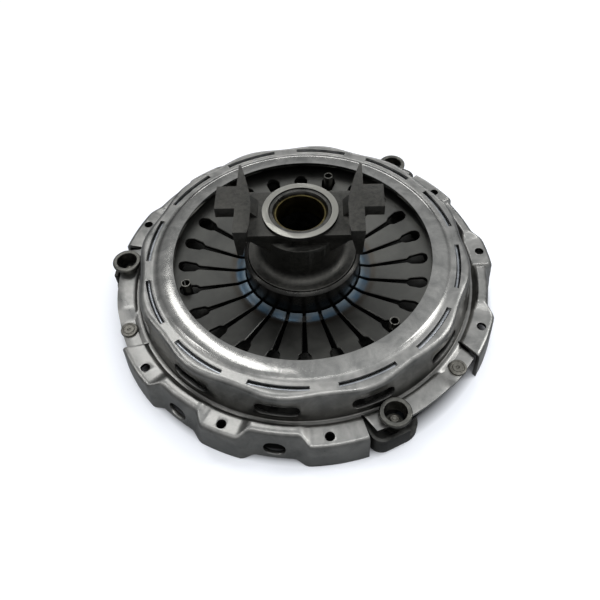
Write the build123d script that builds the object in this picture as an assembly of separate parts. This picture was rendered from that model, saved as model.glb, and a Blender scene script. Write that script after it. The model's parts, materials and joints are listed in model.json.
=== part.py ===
from build123d import *
import math
import os

# Frame: millimetres, +Z towards the gearbox, origin on the axis in the plane of the bolt pad undersides.

# cover pressing
SHEET = 4.5
PRESS_GAP = 0.02
BAYS = 12
BAY_ANGLE = 360 / BAYS
STRAP_ZONES = 3
FIRST_WAIST = 64.33
OPENING_R = 155.0
RIM_Z = 45.9
CREASE_R = 173.0
CREASE_Z = 43.6
SLOT_PLANE_Z = 40.9
SLOT_PLANE_R = 178.5
SHOULDER_R_WAIST = 194.5
SHOULDER_R_LOBE = 200.5
WALL_FOOT_R = 203.8
VALLEY_R = 207.2
FLANGE_ROOT_R = 206.7
VALLEY_OUT_R = 208.6
VALLEY_Z = 1.2
PAD_TOP_Z = SHEET
PAD_IN_R = 212.0
PAD_CORNER_R = 237.2
PAD_FOOT_R = 240.0
PAD_FOOT_Z = -37.0
BRIDGE_TOP_Z = 11.4
BRIDGE_CORNER_R = 225.5
BRIDGE_FOOT_R = 232.8
BRIDGE_FOOT_Z = -31.0
TOP_RAMP = (4.8, 8.4)
FOOT_RAMP = (5.6, 10.0)
SKIRT_END_ANGLE = 100.1
STRAP_LAND_R = 231.2
STRAP_LAND_IN_R = 209.8
SUNK_LAND_Z = -1.5
SUNK_LAND_IN_R = 213.6
SUNK_RAMP = (5.8, 11.0)
CUT_IN_R = 206.0
CUT_OUT_R = 234.0
CUT_ANGLES = (22.5, 20.3)
CUT_GAP = 0.6
LAND_START_ANGLES = (-19.5, -17.2)
ARC_SLOT_R = 186.2
ARC_SLOT_WIDTH = 5.6
ARC_SLOT_HALF_ANGLE = 10.3
WINDOW_WIDTH = 50.0
WINDOW_HEIGHT = 17.0
WINDOW_Z = 17.9
SKIRT_HOLE_WIDTH = 25.0
SKIRT_HOLE_HEIGHT = 20.0
SKIRT_HOLE_Z = -15.0
HOLE_REACH = 10.0

# bolt circle
BOLT_PCD = 450.0
BOLT_ANGLES = (30, 60, 90)
BOLT_HOLE_R = 5.5

# fulcrum ring and diaphragm spring
WIRE_R = 3.25
WIRE_GAP = 0.1
SPRING_T = 5.5
SPRING_OUT_R = 189.0
SPRING_OUT_Z = 31.4
SPRING_BEND_R = 83.0
SPRING_SLOPE = 0.179
SPRING_TIP_R = 70.8
SPRING_TIP_RISE = 1.9
FINGERS = 24
FIRST_FINGER_SLOT = 13.2
KEYHOLE_IN_R = 134.0
KEYHOLE_OUT_R = 144.6
KEYHOLE_HALF_WIDTH = 8.4
SLOT_WIDTH_OUT = 6.4
SLOT_WIDTH_TIP = 3.8

# pressure plate
PLATE_IN_R = 112.0
PLATE_OUT_R = 201.0
PLATE_TOP_R = 193.0
FRICTION_Z = -32.0
PLATE_STEP_Z = -17.5
PLATE_TOP_Z = -3.0
RIDGE_R = 165.0
RIDGE_ROUND = 5.0
SEAT_GAP = 0.12
LUG_ANGLE = -11.2
LUG_R = 223.3
LUG_SEAT_Z = -20.0
LUG_OUT_R = 241.8
LUG_HALF_WIDTHS = (31.5, 29.5)
LUG_CORNERS = (14.0, 22.0)
LUG_RIM_Z = -4.0
LUG_RIM_T = 4.0
LUG_RIM_END = 10.0

# straps
STRAP_ANGLE = 14.0
STRAP_R = 222.7
LEAF_T = 1.0
LEAF_PITCH = 1.02
LEAVES = 4
LEAF_WIDTH = 17.0
LEAF_FLAT = 13.0
RIVET_R = 5.0
RIVET_HEAD_R = 10.0
RIVET_HEAD_H = 3.0
RIVET_SEAT_DEPTH = 0.3
RIVET_GROOVE_R = 6.6
RIVET_FOOT_R = 7.5
RIVET_FOOT_H = 3.5
SPACER_H = 7.0

# collars and tubes
COLLAR_R = 17.8
COLLAR_BARREL_R = 13.6
COLLAR_HOLE_R = 12.2
COLLAR_TOP_Z = 15.2
COLLAR_RIM_H = 4.5
COLLAR_END_Z = -4.0
TUBE_R = 6.0
TUBE_BORE_R = 4.25
TUBE_CIRCLE_R = 143.5
TUBE_TOP_Z = 37.0

# release bearing
HOUSING_TURN = -3.4
DECK_Z = 108.9
RING_FACE_Z = 113.9
RING_FACE_R = 42.9
DECK_HALF_Y = 34.5
DECK_HALF_X = 64.0
DECK_T = 9.0
NECK_R = 48.0
FLANGE_R = 64.6
FLANGE_TOP_Z = 48.9
FLANGE_T = 5.9
FLANGE_GAP = 0.8
SPIGOT_R = 42.0
SPIGOT_END_Z = 12.0
WING_IN_X = 53.0
WING_OUT_X = 70.2
WING_TIP_X = 67.5
WING_TOP_Z = 134.9
WING_FOOT_Z = 98.4
WING_FRONT_Y = -53.0
WING_BACK_Y = 52.0
FORK_PAD_X = 92.4
FORK_PAD_HALF_Y = 17.3
FORK_PAD_T = 13.0
SLEEVE_R = 35.4
SLEEVE_MOUTH_R = 31.5
SLEEVE_BORE_R = 29.3
SLEEVE_TOP_Z = 112.9
SLEEVE_END_Z = 8.0
GUIDE_BORE_R = 27.3
BUSH_H = 26.0
SHELL_R = 69.7
SHELL_LIP_R = 65.2
SHELL_TOP_Z = 48.7
SHELL_SHOULDER_Z = 44.4
SHELL_END_Z = 0.0
BEARING_TOP_Z = 38.0
BEARING_END_Z = 20.0
BALL_R = 6.0
BALL_CIRCLE_R = 53.0
BALLS = 20
CAGE_H = 15.0
CAGE_T = 2.4
CAGE_GAP = 0.15
RACE_GAP = 0.05
RING_HALF_GAP = 2.5
OUTER_RACE_R = 64.0
LOADING_RING_R = 79.0
LOADING_RING_H = 6.0
CIRCLIP_T = 2.0
CIRCLIP_GAP = 0.05
SHIELD_T = 1.6


def rounded_path(points, radii):
    """Edges through the points, with an arc of the given radius at each inner one."""
    edges = []
    start = Vector(*points[0])
    for i in range(1, len(points) - 1):
        corner = Vector(*points[i])
        d_in = (corner - Vector(*points[i - 1])).normalized()
        d_out = (Vector(*points[i + 1]) - corner).normalized()
        turn = d_in.get_angle(d_out)
        reach = radii[i - 1] * math.tan(math.radians(turn) / 2)
        first = corner - d_in * reach
        last = corner + d_out * reach
        bisector = (d_out - d_in).normalized()
        depth = radii[i - 1] * (1 / math.cos(math.radians(turn) / 2) - 1)
        edges.append(Edge.make_line(start, first))
        edges.append(Edge.make_three_point_arc(first, corner + bisector * depth, last))
        start = last
    edges.append(Edge.make_line(start, Vector(*points[-1])))
    return edges


def sheet_profile(points, radii, thickness):
    """Face of a bent sheet: its upper side follows the points, its lower side lies one thickness below."""
    low = []
    low_radii = []
    count = len(points)
    for i in range(count):
        here = Vector(*points[i])
        d_in = (here - Vector(*points[i - 1])).normalized() if i > 0 else None
        d_out = (Vector(*points[i + 1]) - here).normalized() if i < count - 1 else None
        n_in = Vector(d_in.Y, -d_in.X) if d_in else Vector(d_out.Y, -d_out.X)
        n_out = Vector(d_out.Y, -d_out.X) if d_out else n_in
        shift = (n_in + n_out) * (thickness / (1 + n_in.dot(n_out)))
        low.append(((here + shift).X, (here + shift).Y))
        if 0 < i < count - 1:
            bends_down = d_in.cross(d_out).Z < 0
            low_radii.append(radii[i - 1] - thickness if bends_down else radii[i - 1] + thickness)
    upper = rounded_path(points, radii)
    lower = rounded_path(low, low_radii)
    ends = [Edge.make_line(Vector(*points[0]), Vector(*low[0])),
            Edge.make_line(Vector(*points[-1]), Vector(*low[-1]))]
    return Face(Wire(upper + lower + ends))


def radial_plane(angle):
    a = math.radians(angle)
    return Plane(origin=(0, 0, 0), x_dir=(math.cos(a), math.sin(a), 0), z_dir=(math.sin(a), -math.cos(a), 0))


def polar(radius, angle, z=0.0):
    a = math.radians(angle)
    return Vector(radius * math.cos(a), radius * math.sin(a), z)


def around(shape, angle):
    return shape.rotate(Axis.Z, angle)


def dome_points(angle):
    """Outline of the dome down to the valley; the shoulder swings between waist and lobe."""
    swing = (1 + math.cos(math.radians(angle * BAYS))) / 2
    shoulder = SHOULDER_R_LOBE + (SHOULDER_R_WAIST - SHOULDER_R_LOBE) * swing
    points = [(OPENING_R, RIM_Z), (CREASE_R, CREASE_Z), (SLOT_PLANE_R, SLOT_PLANE_Z),
              (shoulder, SLOT_PLANE_Z), (WALL_FOOT_R, VALLEY_Z)]
    return points, [12.0, 10.0, 7.5]


def dome_section(angle):
    points, radii = dome_points(angle)
    profile = sheet_profile(points + [(VALLEY_R, VALLEY_Z)], radii + [2.0], SHEET)
    return radial_plane(angle) * profile


def slanted_plane(in_angle, out_angle):
    """Upright plane through the points at CUT_IN_R and CUT_OUT_R; its x runs outwards like a radius."""
    near = polar(CUT_IN_R, in_angle)
    along = (polar(CUT_OUT_R, out_angle) - near).normalized()
    return Plane(origin=near - along * CUT_IN_R, x_dir=along, z_dir=(along.Y, -along.X, 0))


def blend(low, high, part):
    return low + (high - low) * part


def smooth(value, limits):
    """0 below the first limit, 1 above the second, and a smooth S between them."""
    part = min(1.0, max(0.0, (value - limits[0]) / (limits[1] - limits[0])))
    return part * part * (3 - 2 * part)


def flange_profile(offset):
    """Valley, land and skirt at an angle from the nearest bolt: pad at 0, bridge beyond the ramps."""
    top = smooth(abs(offset), TOP_RAMP)
    low = smooth(abs(offset), FOOT_RAMP)
    land = blend(PAD_TOP_Z, BRIDGE_TOP_Z, top)
    points = [(FLANGE_ROOT_R, VALLEY_Z), (VALLEY_OUT_R, VALLEY_Z), (PAD_IN_R + top, land),
              (blend(PAD_CORNER_R, BRIDGE_CORNER_R, top), land),
              (blend(PAD_FOOT_R, BRIDGE_FOOT_R, low), blend(PAD_FOOT_Z, BRIDGE_FOOT_Z, low))]
    return sheet_profile(points, [1.5, 5.0, 6.0 + 2.0 * top], SHEET)


def strap_profile(angle):
    """Land over the straps: no skirt, and one thickness of sheet up to its free edge."""
    sunk = smooth(angle, SUNK_RAMP)
    land = blend(PAD_TOP_Z, SUNK_LAND_Z, sunk)
    inner = blend(STRAP_LAND_IN_R, SUNK_LAND_IN_R, sunk)
    foot = VALLEY_R + blend(0.6, 2.2, sunk)
    points = [(FLANGE_ROOT_R, VALLEY_Z), (foot, VALLEY_Z), (inner, land), (STRAP_LAND_R, land)]
    radii = [0.5, 5.0] if land > VALLEY_Z else [5.0, 0.5]
    return sheet_profile(points, radii, SHEET)


def skirt_segment():
    """80 degrees of flange: three bolt pads joined by two bridges, and cut off square at the straps."""
    sections = [slanted_plane(*CUT_ANGLES) * flange_profile(0)]
    for pad in BOLT_ANGLES:
        offsets = [0, 4.8, 6.3, 7.6, 10, 15] if pad < BOLT_ANGLES[-1] else [0, 5]
        before = [] if pad == BOLT_ANGLES[0] else [-10, -7.6, -6.3, -4.8]
        sections += [radial_plane(pad + offset) * flange_profile(offset) for offset in before + offsets]
    sections.append(radial_plane(SKIRT_END_ANGLE) * flange_profile(0))
    return loft(sections, ruled=True)


def strap_segment():
    sections = [slanted_plane(*LAND_START_ANGLES) * strap_profile(-19)]
    sections += [radial_plane(angle) * strap_profile(angle) for angle in (-12, -6, 0, 5.8, 7.6, 9.2, 11, 15)]
    sections.append(slanted_plane(CUT_ANGLES[0] - CUT_GAP, CUT_ANGLES[1] - CUT_GAP) * strap_profile(19))
    return loft(sections, ruled=True)


def dome():
    half = loft([dome_section(step * BAY_ANGLE / 6) for step in range(37)], ruled=True)
    return half + around(half, 180)


def arc_slot(angle):
    half = math.radians(ARC_SLOT_HALF_ANGLE)
    ring = Circle(ARC_SLOT_R + ARC_SLOT_WIDTH / 2) - Circle(ARC_SLOT_R - ARC_SLOT_WIDTH / 2)
    reach = 2 * ARC_SLOT_R
    wedge = Polygon((0, 0), (reach * math.cos(half), -reach * math.sin(half)),
                    (reach * math.cos(half), reach * math.sin(half)), align=None)
    sketch = ring & wedge
    return Pos(0, 0, SLOT_PLANE_Z - 2 * SHEET) * extrude(Rot(0, 0, angle) * sketch, 3 * SHEET)


def radial_hole(width, height, z, angle, radius):
    """Oval tool pointing at the axis, long enough to pass through the sheet at the given radius."""
    plane = Plane(origin=polar(radius, angle, z), x_dir=polar(1, angle + 90), z_dir=polar(1, angle))
    return extrude(plane * RectangleRounded(width, height, min(width, height) / 2 - 0.6), HOLE_REACH, both=True)


def cover_pressing():
    shell = dome()
    skirts = [around(skirt_segment(), zone * 360 / STRAP_ZONES) for zone in range(STRAP_ZONES)]
    lands = [around(strap_segment(), zone * 360 / STRAP_ZONES) for zone in range(STRAP_ZONES)]
    shell = shell + skirts + lands
    groove = Pos(0, 0, wire_height()) * Torus(ARC_SLOT_R, WIRE_R + 2 * WIRE_GAP)
    shell = shell - groove
    cuts = []
    wall_r = (SHOULDER_R_WAIST + WALL_FOOT_R) / 2
    skirt_r = (BRIDGE_CORNER_R + BRIDGE_FOOT_R) / 2
    for bay in range(BAYS):
        lobe = bay * BAY_ANGLE + BAY_ANGLE / 2
        cuts.append(arc_slot(lobe))
        cuts.append(radial_hole(WINDOW_WIDTH, WINDOW_HEIGHT, WINDOW_Z, lobe, wall_r))
    for zone in range(STRAP_ZONES):
        turn = zone * 360 / STRAP_ZONES
        for pad in BOLT_ANGLES:
            cuts.append(Pos(polar(BOLT_PCD / 2, pad + turn, PAD_TOP_Z / 2)) * Cylinder(BOLT_HOLE_R, 4 * SHEET))
            bridge = pad + BAY_ANGLE / 2 + turn
            if pad < BOLT_ANGLES[-1]:
                cuts.append(radial_hole(SKIRT_HOLE_WIDTH, SKIRT_HOLE_HEIGHT, SKIRT_HOLE_Z, bridge, skirt_r))
        cuts.append(Pos(polar(LUG_R, LUG_ANGLE + turn, 0)) * Cylinder(COLLAR_BARREL_R + PRESS_GAP, 4 * SHEET))
        rivet_place = Pos(polar(STRAP_R, STRAP_ANGLE + turn, SUNK_LAND_Z))
        seat_height = RIVET_HEAD_H + 2 * RIVET_SEAT_DEPTH
        cuts.append(rivet_place * Cylinder(RIVET_R, 4 * SHEET))
        cuts.append(rivet_place * Pos(0, 0, RIVET_HEAD_H / 2) * Cylinder(RIVET_HEAD_R + PRESS_GAP, seat_height))
    return around(shell - cuts, FIRST_WAIST)


def spring_top(radius):
    return SPRING_OUT_Z - (SPRING_OUT_R - radius) * SPRING_SLOPE


def cone_factor():
    return math.sqrt(1 + SPRING_SLOPE ** 2)


def wire_height():
    return spring_top(ARC_SLOT_R) + (WIRE_R + WIRE_GAP) * cone_factor()


def fulcrum_ring():
    return Pos(0, 0, wire_height()) * Torus(ARC_SLOT_R, WIRE_R)


def finger_slot():
    """Keyhole with its round end outwards, and the tapering slot to the tip."""
    head = Pos(KEYHOLE_OUT_R, 0) * Circle(KEYHOLE_HALF_WIDTH)
    body = Polygon((KEYHOLE_OUT_R, KEYHOLE_HALF_WIDTH), (KEYHOLE_IN_R, KEYHOLE_HALF_WIDTH * 0.8),
                   (KEYHOLE_IN_R - 5, SLOT_WIDTH_OUT / 2), (SPRING_TIP_R - 5, SLOT_WIDTH_TIP / 2),
                   (SPRING_TIP_R - 5, -SLOT_WIDTH_TIP / 2), (KEYHOLE_IN_R - 5, -SLOT_WIDTH_OUT / 2),
                   (KEYHOLE_IN_R, -KEYHOLE_HALF_WIDTH * 0.8), (KEYHOLE_OUT_R, -KEYHOLE_HALF_WIDTH), align=None)
    return extrude(head + body, 2 * SPRING_OUT_Z)


def diaphragm_spring():
    tip_z = spring_top(SPRING_BEND_R) + SPRING_TIP_RISE
    points = [(SPRING_TIP_R, tip_z), (SPRING_BEND_R, spring_top(SPRING_BEND_R)), (SPRING_OUT_R, SPRING_OUT_Z)]
    disc = revolve(Plane.XZ * sheet_profile(points, [15.0], SPRING_T), Axis.Z)
    tool = finger_slot()
    return disc - [around(tool, FIRST_FINGER_SLOT + i * 360 / FINGERS) for i in range(FINGERS)]


def strap_end(angle, radius, z):
    return polar(radius, FIRST_WAIST + angle, z)


def leaf_profile(length, drop):
    """Side view of one leaf along the line from the lug rivet to the cover rivet."""
    high = SUNK_LAND_Z - SHEET - PRESS_GAP - drop
    low = LUG_SEAT_Z + LEAVES * LEAF_PITCH - drop
    end = LEAF_WIDTH / 2
    start = Vector(LEAF_FLAT, low)
    stop = Vector(length - LEAF_FLAT, high)
    middle = length / 2
    edges = []
    for shift in (0, -LEAF_T):
        down = Vector(0, shift)
        bend = [start, Vector(middle, low), Vector(middle, high), stop]
        edges.append(Edge.make_line(Vector(-end, low) + down, start + down))
        edges.append(Edge.make_bezier(*[point + down for point in bend]))
        edges.append(Edge.make_line(stop + down, Vector(length + end, high) + down))
    edges.append(Edge.make_line((-end, low), (-end, low - LEAF_T)))
    edges.append(Edge.make_line((length + end, high), (length + end, high - LEAF_T)))
    return Face(Wire(edges))


def leaf_pack(zone):
    """Four thin straight leaves from the sunk land of the cover down to the lug of the plate."""
    lug = strap_end(LUG_ANGLE, LUG_R, 0)
    along = strap_end(STRAP_ANGLE, STRAP_R, 0) - lug
    length = along.length
    plan = Pos(length / 2, 0) * SlotCenterToCenter(length, LEAF_WIDTH)
    plan -= [Circle(RIVET_R), Pos(length, 0) * Circle(RIVET_R)]
    column = Pos(0, 0, -50) * extrude(plan, 100)
    leaves = []
    for i in range(LEAVES):
        side = Plane.XZ.offset(-LEAF_WIDTH / 2) * leaf_profile(length, i * LEAF_PITCH)
        side = extrude(side, LEAF_WIDTH, dir=(0, -1, 0))
        leaves.append((side & column).solid())
    place = Plane(origin=lug, x_dir=along, z_dir=(0, 0, 1))
    return around(place.location * Compound(leaves), zone * 360 / STRAP_ZONES)


def repeated(shape, count, first=0.0):
    return Compound([around(shape, first + i * 360 / count) for i in range(count)])


def strap_cover_rivets():
    """Wide formed head seated in the cover with a ring groove and a centre dimple, shank and closing head."""
    top = SUNK_LAND_Z - RIVET_SEAT_DEPTH
    low = SUNK_LAND_Z - SHEET - LEAVES * LEAF_PITCH - PRESS_GAP
    shank = Pos(0, 0, (top + low) / 2) * Cylinder(RIVET_R - PRESS_GAP, top - low)
    head = Pos(0, 0, top + RIVET_HEAD_H / 2) * Cylinder(RIVET_HEAD_R, RIVET_HEAD_H)
    head = head - Pos(0, 0, top + RIVET_HEAD_H) * Torus(RIVET_GROOVE_R, 0.9)
    head = head - Pos(0, 0, top + RIVET_HEAD_H + 0.6) * Sphere(2.2)
    foot = Pos(0, 0, low - RIVET_FOOT_H / 2) * Cylinder(RIVET_FOOT_R, RIVET_FOOT_H)
    rivet = head + shank + foot
    place = strap_end(STRAP_ANGLE, STRAP_R, 0)
    return repeated(Pos(place) * rivet, STRAP_ZONES)


def access_collars():
    """Flanged bushes pressed through the cover over the sunk strap rivets, open right through."""
    barrel = COLLAR_BARREL_R
    rim = COLLAR_TOP_Z - COLLAR_RIM_H
    profile = Polygon((COLLAR_HOLE_R, COLLAR_END_Z), (barrel, COLLAR_END_Z), (barrel, rim - 4),
                      (COLLAR_R - 0.8, rim), (COLLAR_R, rim + 0.8), (COLLAR_R, COLLAR_TOP_Z - 1.2),
                      (COLLAR_R - 1.2, COLLAR_TOP_Z), (COLLAR_HOLE_R + 0.6, COLLAR_TOP_Z),
                      (COLLAR_HOLE_R, COLLAR_TOP_Z - 0.8), align=None)
    collar = revolve(Plane.XZ * profile, Axis.Z)
    return repeated(Pos(strap_end(LUG_ANGLE, LUG_R, 0)) * collar, STRAP_ZONES)


def ridge_height():
    """Centre height of the ridge round, so that it just clears the underside of the spring."""
    under = spring_top(RIDGE_R) - SPRING_T * cone_factor()
    return under - (RIDGE_ROUND + SEAT_GAP) * cone_factor()


def lug_outline(inset):
    """Plan of the lug with rounded outer corners, drawn in from its edge by the inset."""
    right = -LUG_HALF_WIDTHS[0] + inset
    left = LUG_HALF_WIDTHS[1] - inset
    out = LUG_OUT_R - inset
    inner = PLATE_OUT_R - 8
    points = [(inner, right), (out, right), (out, left), (inner, left)]
    edges = rounded_path(points, [corner - inset for corner in LUG_CORNERS])
    return Face(Wire(edges + [Edge.make_line((inner, left), (inner, right))]))


def pressure_lug():
    """Cast pocket outside the ring: strap seat, drilled for the rivet, behind a curved guard rim."""
    up = (0, 0, 1)
    low = FRICTION_Z + 1
    block = Pos(0, 0, low) * extrude(lug_outline(0), LUG_SEAT_Z - low, dir=up)
    rim = Pos(0, 0, low) * extrude(lug_outline(0), LUG_RIM_Z - low, dir=up)
    rim = rim - Pos(0, 0, LUG_SEAT_Z) * extrude(lug_outline(LUG_RIM_T), LUG_RIM_Z - LUG_SEAT_Z, dir=up)
    keep = Pos(LUG_R + 10, LUG_RIM_END - 30, 0) * Box(44, 60, 200)
    lug = block + (rim & keep)
    lug = lug - Pos(LUG_R, 0, 0) * Cylinder(RIVET_R, 100)
    return around(lug, FIRST_WAIST + LUG_ANGLE)


def pressure_plate():
    """Cast ring with friction face, fulcrum ridge, stepped edge and three strap lugs."""
    z = ridge_height()
    base = Polygon((PLATE_IN_R, FRICTION_Z), (PLATE_OUT_R, FRICTION_Z), (PLATE_OUT_R, PLATE_STEP_Z),
                   (PLATE_TOP_R, PLATE_STEP_Z), (PLATE_TOP_R, PLATE_TOP_Z), (RIDGE_R + 9, PLATE_TOP_Z),
                   (RIDGE_R + RIDGE_ROUND, z), (RIDGE_R - RIDGE_ROUND, z), (RIDGE_R - 9, PLATE_TOP_Z),
                   (PLATE_IN_R + 3, PLATE_TOP_Z), (PLATE_IN_R, PLATE_TOP_Z - 3), align=None)
    profile = base + Pos(RIDGE_R, z) * Circle(RIDGE_ROUND)
    plate = revolve(Plane.XZ * profile, Axis.Z)
    vent = Pos(RIDGE_R, 0, z + 5) * Box(30, 9, 20)
    plate = plate - [around(vent, i * BAY_ANGLE) for i in range(BAYS)]
    return plate + [around(pressure_lug(), zone * 360 / STRAP_ZONES) for zone in range(STRAP_ZONES)]


def strap_lug_rivets():
    """Long rivets through lug, straps and spacer, with a tubular end in the access collar."""
    low = FRICTION_Z + 3.0
    shank = Pos(0, 0, low / 2) * Cylinder(RIVET_R - PRESS_GAP, -low)
    shank = shank - Torus(RIVET_R - 1.9, 0.9)
    head = Pos(0, 0, LUG_SEAT_Z + LEAVES * LEAF_PITCH + 2 * PRESS_GAP + SPACER_H + 1.25) * Cylinder(7.0, 2.5)
    return repeated(Pos(strap_end(LUG_ANGLE, LUG_R, 0)) * (shank + head), STRAP_ZONES)


def lug_spacers():
    low = LUG_SEAT_Z + LEAVES * LEAF_PITCH + PRESS_GAP
    sleeve = Cylinder(RIVET_HEAD_R, SPACER_H) - Cylinder(RIVET_R, SPACER_H)
    return repeated(Pos(strap_end(LUG_ANGLE, LUG_R, low + SPACER_H / 2)) * sleeve, STRAP_ZONES)


def keyhole_tubes():
    height = TUBE_TOP_Z - PLATE_TOP_Z
    tube = Cylinder(TUBE_R, height) - Cylinder(TUBE_BORE_R, height)
    slit = Pos(TUBE_R, 0, height / 2 - 5) * Box(2 * TUBE_R, 1.2, 10)
    tube = tube - slit
    place = polar(TUBE_CIRCLE_R, FIRST_FINGER_SLOT + 60, PLATE_TOP_Z + height / 2)
    return repeated(Pos(place) * tube, STRAP_ZONES)


def wing():
    """Side plate of the housing: it narrows downwards, and to a blade at the back."""
    taper = [(WING_IN_X, WING_TOP_Z), (WING_OUT_X, WING_TOP_Z), (WING_OUT_X - 2, WING_FOOT_Z),
             (WING_IN_X + 9, WING_FOOT_Z)]
    length = WING_BACK_Y - WING_FRONT_Y
    bar = extrude(Plane.XZ.offset(-WING_BACK_Y) * Polygon(*taper, align=None), length, dir=(0, -1, 0))
    inner = [Vector(WING_IN_X + 2, WING_FRONT_Y), Vector(WING_IN_X, -10), Vector(WING_IN_X + 6, 22),
             Vector(WING_TIP_X, WING_BACK_Y)]
    outer = [inner[-1], Vector(80, WING_BACK_Y), Vector(80, WING_FRONT_Y), inner[0]]
    edges = [Edge.make_spline(inner)] + [Edge.make_line(*outer[i:i + 2]) for i in range(3)]
    side = Polygon((WING_FRONT_Y, WING_FOOT_Z), (DECK_HALF_Y, WING_FOOT_Z + 2), (WING_BACK_Y, WING_TOP_Z - 14),
                   (WING_BACK_Y, WING_TOP_Z), (WING_FRONT_Y, WING_TOP_Z), align=None)
    bar = bar & Pos(0, 0, WING_FOOT_Z - 5) * extrude(Face(Wire(edges)), 60, dir=(0, 0, 1))
    return bar & extrude(Plane.YZ * side, 100, dir=(1, 0, 0))


def gusset():
    """Web from the deck up the inner side of the wing."""
    outer = WING_OUT_X - 4
    outline = Polygon((WING_IN_X - 5, DECK_Z), (outer, DECK_Z), (outer, WING_TOP_Z - 6), align=None)
    return Pos(0, -6, 0) * extrude(Plane.XZ * outline, 26, dir=(0, 1, 0))


def release_housing():
    """Casting: machined ring, deck, wings with fork pads, funnel to the neck, flange and bearing spigot."""
    deck = Pos(0, 0, DECK_Z - DECK_T / 2) * Box(2 * DECK_HALF_X, 2 * DECK_HALF_Y, DECK_T)
    ring = Pos(0, 0, (RING_FACE_Z + DECK_Z) / 2) * Cylinder(RING_FACE_R, RING_FACE_Z - DECK_Z)
    depth = 2 * DECK_HALF_Y
    funnel_top = Plane.XY.offset(DECK_Z - DECK_T) * RectangleRounded(2 * DECK_HALF_X - 6, depth - 0.5, 8)
    funnel_low = Plane.XY.offset(DECK_Z - 36) * RectangleRounded(2 * NECK_R - 0.4, depth - 1, 33)
    funnel = loft([funnel_low, funnel_top], ruled=True)
    neck_points = [(0, FLANGE_TOP_Z - FLANGE_T), (FLANGE_R, FLANGE_TOP_Z - FLANGE_T), (FLANGE_R, FLANGE_TOP_Z),
                   (NECK_R, FLANGE_TOP_Z + 0.6), (NECK_R - 1, DECK_Z - DECK_T - 4), (0, DECK_Z - DECK_T - 4)]
    neck_edges = rounded_path(neck_points, [0.4, 1.0, 11.0, 0.4])
    neck_edges.append(Edge.make_line(neck_points[-1], neck_points[0]))
    neck = revolve(Plane.XZ * Face(Wire(neck_edges)), Axis.Z)
    spigot = Pos(0, 0, (FLANGE_TOP_Z + SPIGOT_END_Z) / 2) * Cylinder(SPIGOT_R, FLANGE_TOP_Z - SPIGOT_END_Z)
    body = deck + ring + funnel + neck + spigot
    pad_mid = (WING_OUT_X - 6 + FORK_PAD_X) / 2
    pad = Pos(pad_mid, 0, WING_TOP_Z - FORK_PAD_T / 2)
    pad = pad * Box(FORK_PAD_X - WING_OUT_X + 6, 2 * FORK_PAD_HALF_Y, FORK_PAD_T)
    half = wing() + pad + gusset()
    body = body + half + half.mirror(Plane.YZ)
    body = body - Pos(0, 0, 80) * Cylinder(SLEEVE_R, 200)
    groove_height = CIRCLIP_T + 2 * CIRCLIP_GAP
    groove = Cylinder(SPIGOT_R + 1, groove_height) - Cylinder(SPIGOT_R - 1.5, groove_height)
    return around(body - Pos(0, 0, circlip_height()) * groove, HOUSING_TURN)


def guide_sleeve():
    outer = SLEEVE_R - PRESS_GAP
    profile = Polygon((SLEEVE_BORE_R, SLEEVE_END_Z), (outer, SLEEVE_END_Z), (outer, SLEEVE_TOP_Z - 1),
                      (SLEEVE_R - 0.7, SLEEVE_TOP_Z), (SLEEVE_MOUTH_R, SLEEVE_TOP_Z),
                      (SLEEVE_BORE_R, DECK_Z), align=None)
    return revolve(Plane.XZ * profile, Axis.Z)


def bronze_bushes():
    ring = Cylinder(SLEEVE_BORE_R - PRESS_GAP, BUSH_H) - Cylinder(GUIDE_BORE_R, BUSH_H)
    upper = Pos(0, 0, DECK_Z - BUSH_H / 2) * ring
    lower = Pos(0, 0, SLEEVE_END_Z + 2 + BUSH_H / 2) * ring
    return Compound([upper.solid(), lower.solid()])


def race_ring(inner, outer):
    height = BEARING_TOP_Z - BEARING_END_Z
    mid = (BEARING_TOP_Z + BEARING_END_Z) / 2
    ring = Cylinder(outer, height) - Cylinder(inner, height)
    return Pos(0, 0, mid) * (ring - Torus(BALL_CIRCLE_R, BALL_R + RACE_GAP))


def bearing_inner_ring():
    return race_ring(SPIGOT_R + PRESS_GAP, BALL_CIRCLE_R - RING_HALF_GAP)


def bearing_outer_ring():
    return race_ring(BALL_CIRCLE_R + RING_HALF_GAP, OUTER_RACE_R - PRESS_GAP)


def bearing_balls():
    mid = (BEARING_TOP_Z + BEARING_END_Z) / 2
    return repeated(Pos(BALL_CIRCLE_R, 0, mid) * Sphere(BALL_R), BALLS)


def ball_cage():
    mid = (BEARING_TOP_Z + BEARING_END_Z) / 2
    ring = Cylinder(BALL_CIRCLE_R + CAGE_T / 2, CAGE_H) - Cylinder(BALL_CIRCLE_R - CAGE_T / 2, CAGE_H)
    pocket = Pos(BALL_CIRCLE_R, 0, 0) * Rot(0, 90, 0) * Cylinder(BALL_R + CAGE_GAP, 8)
    ring = ring - [around(pocket, i * 360 / BALLS) for i in range(BALLS)]
    return Pos(0, 0, mid) * ring


def circlip_height():
    return BEARING_END_Z - CIRCLIP_T / 2 - 0.4


def inner_circlip():
    ring = Cylinder(SPIGOT_R + 3.0, CIRCLIP_T) - Cylinder(SPIGOT_R - 1.45, CIRCLIP_T)
    gap = Pos(SPIGOT_R, 0, 0) * Box(12, 8, 2 * CIRCLIP_T)
    return around(Pos(0, 0, circlip_height()) * (ring - gap), HOUSING_TURN)


def bearing_shield():
    """Sealing washer in the collar below the ball set, clear of the turning inner ring."""
    washer = Cylinder(OUTER_RACE_R - PRESS_GAP, SHIELD_T) - Cylinder(SPIGOT_R + 5.0, SHIELD_T)
    return Pos(0, 0, BEARING_END_Z - CIRCLIP_GAP - SHIELD_T / 2) * washer


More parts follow.
